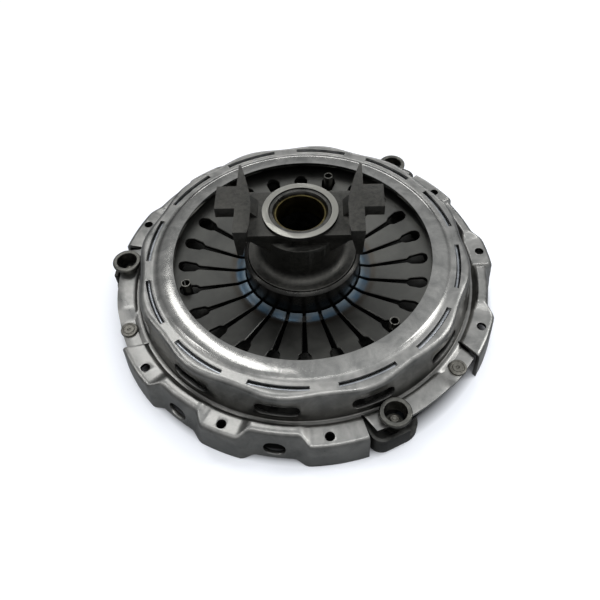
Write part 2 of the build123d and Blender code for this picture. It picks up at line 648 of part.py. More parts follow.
def bearing_collar():
    """Turned shell: labyrinth lip, shoulder over the outer ring, skirt through the fingertips."""
    seat = BEARING_TOP_Z + PRESS_GAP
    ledge = FLANGE_TOP_Z - FLANGE_T - FLANGE_GAP
    skirt = OUTER_RACE_R - 1.5
    points = [(SHELL_R, SHELL_END_Z + 1), (SHELL_R, SHELL_SHOULDER_Z), (SHELL_LIP_R, SHELL_TOP_Z),
              (SHELL_LIP_R, ledge), (BALL_CIRCLE_R + 6, ledge), (BALL_CIRCLE_R + 6, seat), (OUTER_RACE_R, seat),
              (OUTER_RACE_R, BEARING_END_Z - 2), (skirt, BEARING_END_Z - 3.5), (skirt, SHELL_END_Z),
              (SHELL_R - 1, SHELL_END_Z)]
    shell = revolve(Plane.XZ * Polygon(*points, align=None), Axis.Z)
    groove_height = CIRCLIP_T + 2 * CIRCLIP_GAP
    groove = Cylinder(SHELL_R + 1, groove_height) - Cylinder(SHELL_R - 1.6, groove_height)
    return shell - Pos(0, 0, snap_height()) * groove


def loading_top(radius):
    """Height just under the turned-up fingertips."""
    rise = SPRING_TIP_RISE / (SPRING_BEND_R - SPRING_TIP_R)
    under = spring_top(SPRING_BEND_R) - SPRING_T * math.sqrt(1 + rise ** 2)
    return under + (SPRING_BEND_R - radius) * rise - SEAT_GAP


def snap_height():
    return loading_top(LOADING_RING_R) - LOADING_RING_H - CIRCLIP_T / 2 - 2 * CIRCLIP_GAP


def loading_ring():
    low = loading_top(LOADING_RING_R) - LOADING_RING_H
    inner = SHELL_R + PRESS_GAP
    profile = Polygon((inner, low), (LOADING_RING_R, low), (LOADING_RING_R, loading_top(LOADING_RING_R)),
                      (inner + 1, loading_top(inner + 1)), (inner, loading_top(inner + 1) - 1), align=None)
    return revolve(Plane.XZ * profile, Axis.Z)


def snap_ring():
    ring = Cylinder(SHELL_R + 2.5, CIRCLIP_T) - Cylinder(SHELL_R - 1.55, CIRCLIP_T)
    gap = Pos(SHELL_R, 0, 0) * Box(12, 10, 2 * CIRCLIP_T)
    return Pos(0, 0, snap_height()) * (ring - gap)


def main_parts():
    parts = {
        "cover_pressing": cover_pressing(),
        "fulcrum_ring": fulcrum_ring(),
        "diaphragm_spring": diaphragm_spring(),
        "strap_cover_rivets": strap_cover_rivets(),
        "access_collars": access_collars(),
        "pressure_plate": pressure_plate(),
        "strap_lug_rivets": strap_lug_rivets(),
        "lug_spacers": lug_spacers(),
        "keyhole_tubes": keyhole_tubes(),
        "bearing_collar": bearing_collar(),
        "loading_ring": loading_ring(),
        "snap_ring": snap_ring(),
        "bearing_outer_ring": bearing_outer_ring(),
        "bearing_shield": bearing_shield(),
        "release_housing": release_housing(),
        "guide_sleeve": guide_sleeve(),
        "bronze_bushes": bronze_bushes(),
        "bearing_inner_ring": bearing_inner_ring(),
        "inner_circlip": inner_circlip(),
        "bearing_balls": bearing_balls(),
        "ball_cage": ball_cage(),
    }
    for zone in range(STRAP_ZONES):
        parts["leaf_pack_" + "abc"[zone]] = leaf_pack(zone)
    return parts


os.makedirs("parts", exist_ok=True)
for name, shape in main_parts().items():
    export_step(shape, "parts/" + name + ".step")
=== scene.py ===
import json
import math

import bmesh
import bpy
import numpy as np
from mathutils import Matrix, Vector


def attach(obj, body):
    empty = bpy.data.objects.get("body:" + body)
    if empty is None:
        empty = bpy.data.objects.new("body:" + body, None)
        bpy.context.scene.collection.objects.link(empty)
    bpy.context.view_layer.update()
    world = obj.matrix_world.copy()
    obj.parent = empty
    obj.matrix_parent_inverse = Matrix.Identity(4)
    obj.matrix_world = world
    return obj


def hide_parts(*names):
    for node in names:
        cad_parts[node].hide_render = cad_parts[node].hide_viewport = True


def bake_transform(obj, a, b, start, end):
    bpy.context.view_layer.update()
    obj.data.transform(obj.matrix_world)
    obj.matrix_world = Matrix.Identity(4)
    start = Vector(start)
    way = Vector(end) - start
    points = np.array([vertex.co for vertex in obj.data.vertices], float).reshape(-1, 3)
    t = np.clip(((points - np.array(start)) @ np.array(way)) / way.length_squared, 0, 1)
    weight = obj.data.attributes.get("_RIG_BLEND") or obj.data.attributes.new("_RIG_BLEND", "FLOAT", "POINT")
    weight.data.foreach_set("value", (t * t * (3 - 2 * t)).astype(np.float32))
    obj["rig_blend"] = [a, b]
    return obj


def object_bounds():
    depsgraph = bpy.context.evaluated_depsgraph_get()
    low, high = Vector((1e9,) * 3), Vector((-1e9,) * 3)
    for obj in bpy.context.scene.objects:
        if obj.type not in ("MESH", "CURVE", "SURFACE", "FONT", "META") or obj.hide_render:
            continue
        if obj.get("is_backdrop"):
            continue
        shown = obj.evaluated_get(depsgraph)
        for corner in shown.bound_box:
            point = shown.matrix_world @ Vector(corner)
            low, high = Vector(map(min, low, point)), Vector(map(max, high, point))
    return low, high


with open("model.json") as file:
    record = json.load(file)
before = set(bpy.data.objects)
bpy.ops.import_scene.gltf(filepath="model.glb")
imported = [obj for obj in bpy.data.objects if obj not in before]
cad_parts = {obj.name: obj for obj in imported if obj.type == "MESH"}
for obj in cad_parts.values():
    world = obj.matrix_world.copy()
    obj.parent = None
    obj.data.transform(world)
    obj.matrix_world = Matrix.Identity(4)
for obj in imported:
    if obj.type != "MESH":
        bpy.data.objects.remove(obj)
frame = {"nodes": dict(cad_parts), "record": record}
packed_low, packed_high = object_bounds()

# Cover pressing: one blank of 4.5 mm steel sheet, deep drawn into a waved dome with bolt pads, bridges and
# sunk strap lands, then pierced. The sheet is left bare and oiled, so it is mottled and its bends are bright.
# The shapes' sizes are millimetres and degrees, and are turned to metres where a mesh or a node takes them.
SHEET = 4.5
FIRST_WAIST = 64.33
BAYS = 12
ZONE = 120.0
DOME_RIM, CREASE = (155.0, 45.9), (173.0, 43.6)
SLOT_PLANE_R, SLOT_PLANE_Z = 178.5, 40.9
SHOULDER_R, SHOULDER_WAVE = 200.5, 6.0
WALL_FOOT_R = 203.8
DOME_RADII = [12.0, 10.0, 7.5, 2.0]
VALLEY, VALLEY_OUT_R = (207.2, 1.2), 208.6
PAD = ((212.0, 4.5), (236.8, 4.5), (239.25, -36.7))
BRIDGE = ((213.0, 11.4), (225.5, 11.4), (232.7, -30.8))
PAD_RAMP, FOOT_RAMP = (4.8, 8.4), (5.6, 10.0)
LAND_Z, LAND_IN_R, LAND_MID_R, LAND_OUT_R = 4.5, 209.8, 222.0, 231.2
LAND_ROOT_R, SUNK_ROOT_OUT = 207.8, 1.6
SUNK_DEPTH, SUNK_IN, SUNK_RAMP = 6.0, 3.8, (5.8, 11.0)
LAND_ENDS = (-19.5, 21.9)
SKIRT_ENDS = (22.5, 100.1)
SLANTS = {-19.5: 2.3 / 28, 21.9: -2.2 / 28, 22.5: -2.2 / 28}
SLANT_IN_R, SLANT_FADE = 206.0, 7.5
SLOT_R, SLOT_WIDTH, SLOT_HALF_ANGLE = 186.2, 5.6, 10.3
SLOT_CUT = (30.0, 50.0)
WINDOW, WINDOW_FROM_R, WINDOW_Z = (50.0, 17.0), 189.0, 17.9
SKIRT_HOLE, SKIRT_FROM_R, SKIRT_HOLE_Z, SKIRT_HOLES = (25.0, 20.0), 219.0, -15.0, (45, 75)
BOLTS, BOLT_CIRCLE_R, BOLT_HOLE = (30, 60, 90), 225.0, 11.0
LUG_AT, COLLAR_HOLE = (223.3, -11.2), 27.2
LAND_AT, RIVET_HOLE = (222.7, 14.0), 10.0
WORN_EDGE = 0.6


def smooth(value, low, high):
    """3x^2 - 2x^3 of the part of the way from low to high, held at 0 and 1 outside it."""
    x = np.clip((value - low) / (high - low), 0.0, 1.0)
    return x * x * (3 - 2 * x)


def bent_line(points, radii, steps):
    """Samples and normals of a line with an arc at each inner point. At an arc the direction turns evenly from
    the one run to the next, the normal is the direction turned a quarter right, and the centre stays put."""
    points = np.asarray(points, float)
    runs = np.diff(points, axis=0)
    runs /= np.linalg.norm(runs, axis=1)[:, None]
    heads = np.arctan2(runs[:, 1], runs[:, 0])
    line, normals = [points[:1]], [np.array([[runs[0, 1], -runs[0, 0]]])]
    for i, (radius, count) in enumerate(zip(radii, steps)):
        turn = heads[i + 1] - heads[i]
        reach = max(radius * math.tan(abs(turn) / 2), 1e-3)
        size = reach / math.tan(max(abs(turn), 1e-4) / 2)
        angle = heads[i] + turn * np.linspace(0, 1, count + 1)
        left = np.stack([-np.sin(angle), np.cos(angle)], -1) * math.copysign(1, turn)
        first = points[i + 1] - runs[i] * reach
        line.append(first + left[0] * size - left * size)
        normals.append(np.stack([np.sin(angle), -np.cos(angle)], -1))
    line.append(points[-1:])
    normals.append(np.array([[runs[-1, 1], -runs[-1, 0]]]))
    return np.concatenate(line), np.concatenate(normals)


def dome_line(angle):
    """Rim, crease, slot plane, shoulder and wall; at angle a the shoulder is its outer radius less the wave
    times (1 + cos 12a) / 2."""
    shoulder = SHOULDER_R - SHOULDER_WAVE / 2 * (1 + math.cos(math.radians(BAYS * angle)))
    points = [DOME_RIM, CREASE, (SLOT_PLANE_R, SLOT_PLANE_Z), (shoulder, SLOT_PLANE_Z), (WALL_FOOT_R, VALLEY[1]),
              VALLEY]
    return bent_line(points, DOME_RADII, [6, 6, 12, 6])


def flange_line(angle):
    """Valley to free edge: pads and bridges blend by the smooth step of the distance to the nearest bolt."""
    if angle < SKIRT_ENDS[0]:
        sunk = float(smooth(angle, *SUNK_RAMP))
        land = LAND_Z - SUNK_DEPTH * sunk
        inner = LAND_IN_R + SUNK_IN * sunk
        radii = [0.5, 5.0] if land > VALLEY[1] else [5.0, 0.5]
        points = [VALLEY, (LAND_ROOT_R + SUNK_ROOT_OUT * sunk, VALLEY[1]), (inner, land), (LAND_MID_R, land),
                  (LAND_OUT_R, land)]
        return bent_line(points, radii + [1.0], [4, 6, 8])
    near = min(abs(angle - bolt) for bolt in BOLTS) if BOLTS[0] < angle < BOLTS[-1] else 0.0
    top = float(smooth(near, *PAD_RAMP))
    low = float(smooth(near, *FOOT_RAMP))
    corners = [np.array(p) + (np.array(b) - p) * part for p, b, part in zip(PAD, BRIDGE, (top, top, low))]
    return bent_line([VALLEY, (VALLEY_OUT_R, VALLEY[1])] + corners, [1.5, 5.0, 6.0 + 2.0 * top], [4, 6, 8])


def slanted(angle, radius):
    """Angle of a point of the flange: the cut at each end leans by its slant, which fades away from the cut."""
    lean = sum(slope * max(0.0, 1 - abs(angle - end) / SLANT_FADE) for end, slope in SLANTS.items()
               if (end < SKIRT_ENDS[0]) == (angle < SKIRT_ENDS[0]))
    return angle + lean * np.clip(radius - SLANT_IN_R, 0, None)


def add_mesh(name, verts, faces, material, sharp=35.0):
    """Mesh object in metres from millimetres, with its normals outwards, smooth below the sharp angle."""
    mesh = bpy.data.meshes.new(name)
    mesh.from_pydata((np.asarray(verts, float) / 1000).tolist(), [], faces)
    made = bpy.data.objects.new(name, mesh)
    bpy.context.scene.collection.objects.link(made)
    mesh.materials.append(material)
    shade(made, sharp)
    return made


def shade(made, sharp):
    """Normals outwards, and smooth shading with sharp edges above the angle in degrees."""
    bm = bmesh.new()
    bm.from_mesh(made.data)
    bmesh.ops.recalc_face_normals(bm, faces=bm.faces)
    for edge in bm.edges:
        edge.smooth = not (len(edge.link_faces) == 2 and edge.calc_face_angle(0) > math.radians(sharp))
    for face in bm.faces:
        face.smooth = True
    bm.to_mesh(made.data)
    bm.free()


def sheet_shell(layers, cells):
    """Closed shell between two matching grids, kept only where cells is true, and closed round the first axis."""
    count, rows = layers[0].shape[:2]
    half = count * rows
    faces = []
    for i, j in zip(*np.nonzero(cells)):
        nxt = (i + 1) % count
        a, b, c, d = i * rows + j, nxt * rows + j, nxt * rows + j + 1, i * rows + j + 1
        faces += [(a, b, c, d), (d + half, c + half, b + half, a + half)]
        if j == 0 or not cells[i, j - 1]:
            faces.append((b, a, a + half, b + half))
        if j == rows - 2 or not cells[i, j + 1]:
            faces.append((d, c, c + half, d + half))
        if not cells[i - 1, j]:
            faces.append((a, d, d + half, a + half))
        if not cells[nxt, j]:
            faces.append((c, b, b + half, c + half))
    verts = np.concatenate([grid.reshape(-1, 3) for grid in layers])
    used, index = np.unique(np.array(faces), return_inverse=True)
    return verts[used], index.reshape(-1, 4).tolist()


def bar(outline, start, x_dir, y_dir, length):
    """Closed bar: a flat outline carried from start along x_dir cross y_dir."""
    outline, x_dir, y_dir = np.asarray(outline, float), np.array(x_dir, float), np.array(y_dir, float)
    base = np.array(start, float) + outline[:, :1] * x_dir + outline[:, 1:] * y_dir
    verts = np.concatenate([base, base + np.cross(x_dir, y_dir) * length])
    n = len(outline)
    sides = [(i, (i + 1) % n, (i + 1) % n + n, i + n) for i in range(n)]
    return verts, [tuple(range(n))[::-1], tuple(range(n, 2 * n))] + sides


def oval(width, height, steps=12):
    """Outline of a slot with round ends: the end circle's radius is half the height."""
    reach, radius = max(width - height, 0) / 2, height / 2
    turn = np.linspace(-math.pi / 2, math.pi / 2, steps)
    right = np.stack([reach + radius * np.cos(turn), radius * np.sin(turn)], -1)
    return np.concatenate([right, -right] if reach else [right, -right[1:-1]])


def polar(radius, angle, z=0.0):
    """Point (r cos a, r sin a, z) at angle a in degrees."""
    return (radius * math.cos(math.radians(angle)), radius * math.sin(math.radians(angle)), z)


def arc_bar(radius, width, angle, half_angle, low, high):
    """Cutter for an arc slot: two arcs half the width either side of the radius, closed at its ends."""
    turn = np.radians(angle + half_angle * np.linspace(-1, 1, 24))
    ring = np.stack([np.cos(turn), np.sin(turn)], -1)
    outline = np.concatenate([ring * (radius + width / 2), ring[::-1] * (radius - width / 2)])
    return bar(outline, (0, 0, low), (1, 0, 0), (0, 1, 0), high - low)


def wall_cutter(size, radius, angle, height):
    """Slot-shaped cutter that runs outwards through a wall, from a radius inside it."""
    return bar(oval(*size), polar(radius, angle, height), polar(1, angle + 90), (0, 0, 1), 20.0)


def sheet_cutter(width, radius, angle, low, steps=12):
    """Round cutter that stands up through the flange, from a height under it."""
    return bar(oval(width, width, steps), polar(radius, angle, low), (1, 0, 0), (0, 1, 0), 20.0)


def merged(groups):
    """Several (vertices, faces) groups as one, each group's face indices raised by the vertices before it."""
    verts, faces, base = [], [], 0
    for group_verts, group_faces in groups:
        verts.append(np.asarray(group_verts, float))
        faces += [tuple(i + base for i in face) for face in group_faces]
        base += len(group_verts)
    return np.concatenate(verts), faces


def applied(made):
    """Turns the object's modifiers into its mesh."""
    fresh = bpy.data.meshes.new_from_object(made.evaluated_get(bpy.context.evaluated_depsgraph_get()))
    made.modifiers.clear()
    made.data = fresh


def cut(made, cutters):
    """Takes the merged cutters out of the object."""
    tool = add_mesh("cutter", *merged(cutters), made.data.materials[0])
    modifier = made.modifiers.new("cut", "BOOLEAN")
    modifier.operation, modifier.solver, modifier.object = "DIFFERENCE", "EXACT", tool
    applied(made)
    bpy.data.objects.remove(tool)


def broken_edges(made, width, segments=2, sharp=40.0, above=40.0):
    """Rounds the edges above an angle by a width in millimetres, as tumbling or wear leaves them."""
    modifier = made.modifiers.new("edges", "BEVEL")
    modifier.width, modifier.segments = width / 1000, segments
    modifier.limit_method, modifier.angle_limit = "ANGLE", math.radians(above)
    applied(made)
    shade(made, sharp)


def srgb(code):
    """Linear colour of a #rrggbb code: c/12.92 below 0.04045, else ((c+0.055)/1.055)^2.4."""
    values = [int(code[i:i + 2], 16) / 255 for i in (1, 3, 5)]
    return [c / 12.92 if c < 0.04045 else ((c + 0.055) / 1.055) ** 2.4 for c in values] + [1.0]


def add_node(tree, kind, inputs=(), **settings):
    """One shader node with its settings, and its inputs set to values or linked from sockets."""
    made = tree.nodes.new("ShaderNode" + kind)
    for key, value in settings.items():
        setattr(made, key, value)
    for key, value in dict(inputs).items():
        if isinstance(value, bpy.types.NodeSocket):
            tree.links.new(value, made.inputs[key])
        else:
            made.inputs[key].default_value = value
    return made


def finish(name, dark, light, rough, metallic=1.0, patch_mm=9.0, grain_mm=0.9, bump=0.15, zones=None):
    """Metal whose colour and roughness wander between two tones over patch_mm, under a relief of grain_mm.
    zones(tree, place, colour, roughness) may lay further finishes over it and gives back both sockets."""
    material = bpy.data.materials.new(name)
    material.use_nodes = True
    tree = material.node_tree
    tree.nodes.clear()
    place = add_node(tree, "TexCoord").outputs["Object"]
    patch = add_node(tree, "TexNoise", {"Vector": place, "Scale": 1000 / patch_mm, "Detail": 5.0,
                                        "Roughness": 0.62, "Distortion": 0.5}).outputs[0]
    grain = add_node(tree, "TexNoise", {"Vector": place, "Scale": 1000 / grain_mm, "Detail": 3.0}).outputs[0]
    part = add_node(tree, "MapRange", {"Value": patch, "From Min": 0.33, "From Max": 0.67}).outputs[0]
    colour = add_node(tree, "Mix", {0: part, 6: srgb(dark), 7: srgb(light)}, data_type="RGBA").outputs[2]
    roughness = add_node(tree, "MapRange", {"Value": patch, "From Min": 0.28, "From Max": 0.72,
                                            "To Min": rough[0], "To Max": rough[1]}).outputs[0]
    if zones:
        colour, roughness = zones(tree, place, colour, roughness)
    relief = add_node(tree, "Bump", {"Strength": bump, "Distance": 0.0004, "Height": grain}).outputs[0]
    shader = add_node(tree, "BsdfPrincipled", {"Base Color": colour, "Metallic": metallic, "Roughness": roughness,
                                               "Normal": relief}).outputs[0]
    add_node(tree, "OutputMaterial", {"Surface": shader})
    return material


def ring_mask(tree, place, inner, outer, edge=1.0):
    """1 between two radii in millimetres round the Z axis, falling to 0 over the edge width."""
    flat = add_node(tree, "VectorMath", {0: place, 1: (1.0, 1.0, 0.0)}, operation="MULTIPLY").outputs[0]
    radius = add_node(tree, "VectorMath", {0: flat}, operation="LENGTH").outputs["Value"]
    rise = add_node(tree, "MapRange", {"Value": radius, "From Min": (inner - edge) / 1000,
                                       "From Max": inner / 1000}).outputs[0]
    fall = add_node(tree, "MapRange", {"Value": radius, "From Min": outer / 1000, "From Max": (outer + edge) / 1000,
                                       "To Min": 1.0, "To Max": 0.0}).outputs[0]
    return add_node(tree, "Math", {0: rise, 1: fall}, operation="MULTIPLY").outputs[0]


DIE_POLISH = 0.42
# Painted shade: how far the valley colour at the foot of the dome goes towards near black, and its radii.
VALLEY_SHADE, VALLEY_SHADE_BAND = 0.75, (201.0, 204.5)


def rim_polish_and_valley_shade(tree, place, colour, roughness):
    """The flat round the opening is drawn tight over the die, so it is smoother than the rest of the sheet. Painted
    shade: the valley at the foot of the dome, below 20 mm, is darkened in the colour."""
    rim = ring_mask(tree, place, DOME_RIM[0], CREASE[0] + 1.0, 3.0)
    smoother = add_node(tree, "Math", {0: roughness, 1: DIE_POLISH}, operation="MULTIPLY").outputs[0]
    roughness = add_node(tree, "Mix", {0: rim, 2: roughness, 3: smoother}, data_type="FLOAT").outputs[0]
    valley = ring_mask(tree, place, *VALLEY_SHADE_BAND, 4.0)
    height = add_node(tree, "SeparateXYZ", {0: place}).outputs[2]
    foot = add_node(tree, "MapRange", {"Value": height, "From Min": 0.004, "From Max": 0.020, "To Min": VALLEY_SHADE,
                                       "To Max": 0.0}).outputs[0]
    valley_shade = add_node(tree, "Math", {0: valley, 1: foot}, operation="MULTIPLY").outputs[0]
    # Painted shade: near black laid into the colour of the valley at the foot of the dome.
    colour = add_node(tree, "Mix", {0: valley_shade, 6: colour, 7: srgb("#2a2926")}, data_type="RGBA").outputs[2]
    return colour, roughness


cover_steel = finish("oiled_drawn_steel", "#747472", "#92918e", (0.26, 0.40), patch_mm=20.0, bump=0.10,
                     zones=rim_polish_and_valley_shade)
land_angles = np.linspace(*LAND_ENDS, 48)
skirt_angles = np.linspace(*SKIRT_ENDS, 112)
local = np.concatenate([land_angles, skirt_angles])
dome_rows = len(dome_line(0.0)[0])
columns = []
for zone in range(3):
    for angle in local:
        dome_part, dome_normal = dome_line(angle)
        flange_part, flange_normal = flange_line(angle)
        line = np.concatenate([dome_part, flange_part[1:]])
        normal = np.concatenate([dome_normal, flange_normal[1:]])
        pair = []
        for depth in (0.0, SHEET):
            point = line + normal * depth
            turn = np.radians(np.where(np.arange(len(line)) < dome_rows, angle, slanted(angle, point[:, 0]))
                              + FIRST_WAIST + ZONE * zone)
            pair.append(np.stack([point[:, 0] * np.cos(turn), point[:, 0] * np.sin(turn), point[:, 1]], -1))
        columns.append(pair)
layers = np.moveaxis(np.array(columns), 1, 0)
cells = np.ones((layers.shape[1], layers.shape[2] - 1), bool)
for zone in range(3):
    cells[zone * len(local) + len(land_angles) - 1, dome_rows - 1:] = False
    cells[(zone + 1) * len(local) - 1, dome_rows - 1:] = False
cover = add_mesh("cover_pressing_fine", *sheet_shell(layers, cells), cover_steel)
cutters = []
for bay in range(BAYS):
    lobe = FIRST_WAIST + (bay + 0.5) * 360 / BAYS
    cutters.append(arc_bar(SLOT_R, SLOT_WIDTH, lobe, SLOT_HALF_ANGLE, *SLOT_CUT))
    cutters.append(wall_cutter(WINDOW, WINDOW_FROM_R, lobe, WINDOW_Z))
for zone in range(3):
    base = FIRST_WAIST + ZONE * zone
    cutters += [wall_cutter(SKIRT_HOLE, SKIRT_FROM_R, base + a, SKIRT_HOLE_Z) for a in SKIRT_HOLES]
    cutters += [sheet_cutter(BOLT_HOLE, BOLT_CIRCLE_R, base + a, -6) for a in BOLTS]
    cutters.append(sheet_cutter(COLLAR_HOLE, LUG_AT[0], base + LUG_AT[1], -8, 24))
    cutters.append(sheet_cutter(RIVET_HOLE, LAND_AT[0], base + LAND_AT[1], -12))
cut(cover, cutters)
broken_edges(cover, WORN_EDGE)
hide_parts("cover_pressing")
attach(cover, "cover")

# Fulcrum ring: a hoop of bright drawn wire, 6.5 mm thick, that lies in the groove under the arc slots and
# shows through them as a thin bright line. The diaphragm spring tilts on it.
WIRE_R, WIRE_GAP = 3.25, 0.1
HOOP_R = SLOT_R
SPRING_OUT_R, SPRING_OUT_Z = 189.0, 31.4
SPRING_SLOPE, SPRING_T = 0.179, 5.5


def spring_top(radius):
    """Height of the spring's upper face: its height at the outer edge, falling inwards with the slope."""
    return SPRING_OUT_Z - (SPRING_OUT_R - radius) * SPRING_SLOPE


def turned(profile, steps=96):
    """Closed (r, z) outline turned about Z: x = r cos t, y = r sin t."""
    profile = np.asarray(profile, float)
    turn = np.linspace(0, 2 * math.pi, steps, endpoint=False)[:, None]
    verts = np.stack([np.cos(turn) * profile[:, 0], np.sin(turn) * profile[:, 0],
                      np.ones_like(turn) * profile[:, 1]], -1).reshape(-1, 3)
    n = len(profile)
    i, j = np.meshgrid(np.arange(steps), np.arange(n), indexing="ij")
    nxt, up = (i + 1) % steps, (j + 1) % n
    faces = np.stack([i * n + j, nxt * n + j, nxt * n + up, i * n + up], -1).reshape(-1, 4)
    return verts, faces.tolist()


lean = math.sqrt(1 + SPRING_SLOPE ** 2)
hoop_z = spring_top(HOOP_R) + (WIRE_R + WIRE_GAP) * lean
wire_steel = finish("bright_drawn_wire", "#7b7e82", "#96999d", (0.22, 0.34), patch_mm=20.0, bump=0.03)
around = np.linspace(0, 2 * math.pi, 20, endpoint=False)
wire = np.stack([HOOP_R + WIRE_R * np.cos(around), hoop_z + WIRE_R * np.sin(around)], -1)
hoop = add_mesh("fulcrum_ring_fine", *turned(wire, 256), wire_steel)
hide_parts("fulcrum_ring")
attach(hoop, "cover")

# Diaphragm spring: a dished disc of dark tempered spring steel cut into 24 fingers by keyhole slots with
# broken edges. The fingertips are hardened, which leaves a blue and straw band. Each finger bends on its own,
# from just outside the wire, which keeps it clear of the plate's ridge.
FINGERS = 24
FIRST_SLOT = 13.2
TIP_R, BEND_R, TIP_RISE, TIP_RUN = 70.8, 83.0, 2.128, 14.0
SLOT_TIP_HALF, SLOT_WIDENS, SLOT_RUN = 1.9, 1.3, 58.0
NECK_HALF, NECK_START_R, NECK_END_R = 6.7, 128.0, 134.0
HOLE_R, HOLE_CENTRE_R = 8.4, 144.6
EDGE_CHAMFER = 0.7
BLEND_OUT_R, BLEND_IN_R = 191.8, 91.8
SAMPLED = ((TIP_R, BEND_R, 10), (BEND_R, 126, 14), (126, 136, 11), (136, 148, 10))


def slot_half_width(r):
    """Half a slot: it widens evenly from the tip, flares into the keyhole and ends in a half circle."""
    taper = SLOT_TIP_HALF + SLOT_WIDENS * np.clip((r - TIP_R) / SLOT_RUN, 0, 1)
    flare = taper + (NECK_HALF - taper) * smooth(r, NECK_START_R, NECK_END_R)
    hole = flare + (HOLE_R - NECK_HALF) * np.clip((r - NECK_END_R) / (HOLE_CENTRE_R - NECK_END_R), 0, 1)
    round_end = np.sqrt(np.clip(HOLE_R ** 2 - (r - HOLE_CENTRE_R) ** 2, 0, None))
    return np.where(r < HOLE_CENTRE_R, hole, np.where(r < HOLE_CENTRE_R + HOLE_R, round_end, 0.0))


def finger(index):
    """Four stacked grids over radius and share of the width; the outer two are drawn in by the chamfer, and
    the height is the cone's plus a smooth rise towards the tip."""
    hole_end = HOLE_CENTRE_R + HOLE_R
    r = np.concatenate([np.linspace(*run)[:-1] for run in SAMPLED]
                       + [hole_end - 5.0 * np.linspace(1, 0, 12)[:-1] ** 2,
                          [hole_end + 1e-4, 160, 170, 180, SPRING_OUT_R]])
    z = spring_top(np.maximum(r, BEND_R)) + TIP_RISE * smooth(BEND_R - r, 0.0, TIP_RUN)
    across = np.array([-1, -0.93, -0.6, -0.25, 0, 0.25, 0.6, 0.93, 1])
    mid = FIRST_SLOT + (index + 0.5) * 360 / FINGERS
    half = math.pi / FINGERS - np.arcsin(slot_half_width(r) / r)
    depth = SPRING_T * lean
    grids = []
    for drop, inset in ((0, 1), (EDGE_CHAMFER, 0), (depth - EDGE_CHAMFER, 0), (depth, 1)):
        width = half - inset * np.where(r < hole_end, EDGE_CHAMFER, 0.0) / r
        angle = math.radians(mid) + width[:, None] * across
        far = (r + inset * np.where(r < TIP_R + 0.1, EDGE_CHAMFER, 0))[:, None]
        grids.append(np.stack([far * np.cos(angle), far * np.sin(angle), np.tile((z - drop)[:, None], 9)], -1))
    n, m = grids[0].shape[:2]
    size = n * m
    i, j = np.meshgrid(np.arange(n - 1), np.arange(m - 1), indexing="ij")
    a = (i * m + j).ravel()
    low = a + 3 * size
    flats = np.concatenate([np.stack([a, a + 1, a + m + 1, a + m], -1),
                            np.stack([low + m, low + m + 1, low + 1, low], -1)])
    rim = np.concatenate([np.arange(n) * m, (n - 1) * m + np.arange(1, m), np.arange(n - 2, -1, -1) * m + m - 1,
                          np.arange(m - 2, 0, -1)])
    sides = [np.stack([rim + k * size, np.roll(rim, -1) + k * size, np.roll(rim, -1) + (k + 1) * size,
                       rim + (k + 1) * size], -1) for k in range(3)]
    return np.concatenate([g.reshape(-1, 3) for g in grids]), np.concatenate([flats] + sides).tolist(), mid


TEMPER_BANDS = ((79.0, 88.0, "#403830", 0.5), (74.0, 81.0, "#2f4454", 0.8), (70.0, 73.0, "#66737c", 0.6))


def temper_colours(tree, place, colour, roughness):
    """Straw outside blue round the fingertips, and bare at their ends, broken up along each band."""
    for inner, outer, code, share in TEMPER_BANDS:
        mask = ring_mask(tree, place, inner, outer, 4.0)
        cloud = add_node(tree, "TexNoise", {"Vector": place, "Scale": 70.0, "Detail": 2.0}).outputs[0]
        broken = add_node(tree, "MapRange", {"Value": cloud, "From Min": 0.3, "From Max": 0.6,
                                             "To Min": 0.25, "To Max": share}).outputs[0]
        amount = add_node(tree, "Math", {0: mask, 1: broken}, operation="MULTIPLY").outputs[0]
        colour = add_node(tree, "Mix", {0: amount, 6: colour, 7: srgb(code)}, data_type="RGBA").outputs[2]
    return colour, roughness


spring_steel = finish("tempered_spring_steel", "#484846", "#545451", (0.30, 0.40), patch_mm=45.0, bump=0.05,
                      zones=temper_colours)
for index in range(FINGERS):
    verts, faces, mid = finger(index)
    piece = add_mesh("finger_%02d" % index, verts, faces, spring_steel, 30)
    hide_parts("diaphragm_spring")
    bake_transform(piece, "cover", "collar", start=polar(BLEND_OUT_R / 1000, mid, 0.03),
             end=polar(BLEND_IN_R / 1000, mid, 0.03))

# Leaf packs: four blued steel leaves, each 1 mm thick and 17 mm wide, riveted at one end under the sunk land
# of the cover and at the other to the plate's lug. They carry the torque and bend as the plate lifts.
LEAVES, LEAF_W, LEAF_T, LEAF_PITCH, LEAF_FLAT = 4, 17.0, 1.0, 1.02, 13.0
LEAF_TOP_Z, LUG_SEAT_Z, LEAF_MID_Z = -6.02, -20.0, -12.0


